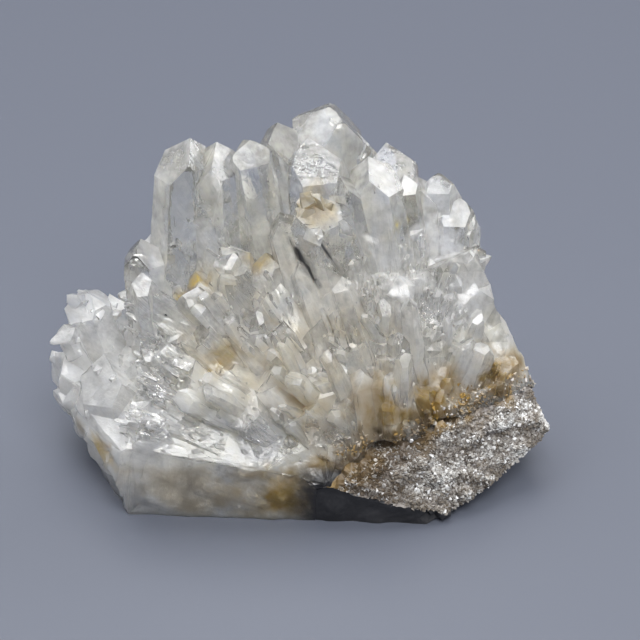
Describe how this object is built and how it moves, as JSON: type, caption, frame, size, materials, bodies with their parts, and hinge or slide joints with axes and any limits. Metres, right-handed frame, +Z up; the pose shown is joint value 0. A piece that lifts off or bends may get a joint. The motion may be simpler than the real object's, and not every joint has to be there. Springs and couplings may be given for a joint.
{
  "type": "chrysanthemum quartz cluster",
  "caption": "Hand specimen of clear to milky quartz crystals, grown in a spray from a corner of granular rock and broken off flat below, to stand on a shelf.",
  "frame": {"origin": "middle of the bounding box's bottom, on the surface that the specimen stands on", "axes": "+X to the right along the broken front, from the massive quartz end to the rock end; +Y to the back, away from the broken front; +Z up towards the crystal tips"},
  "size_m": [0.0646, 0.0388, 0.0422],
  "materials": {
    "quartz": "clear and glossy at the crystal tips, milky and stained with iron lower down",
    "rock": "rough, granular and sparkling"
  },
  "bodies": {
    "root": {"quartz_cluster": "quartz", "host_rock": "rock"}
  },
  "joints": []
}
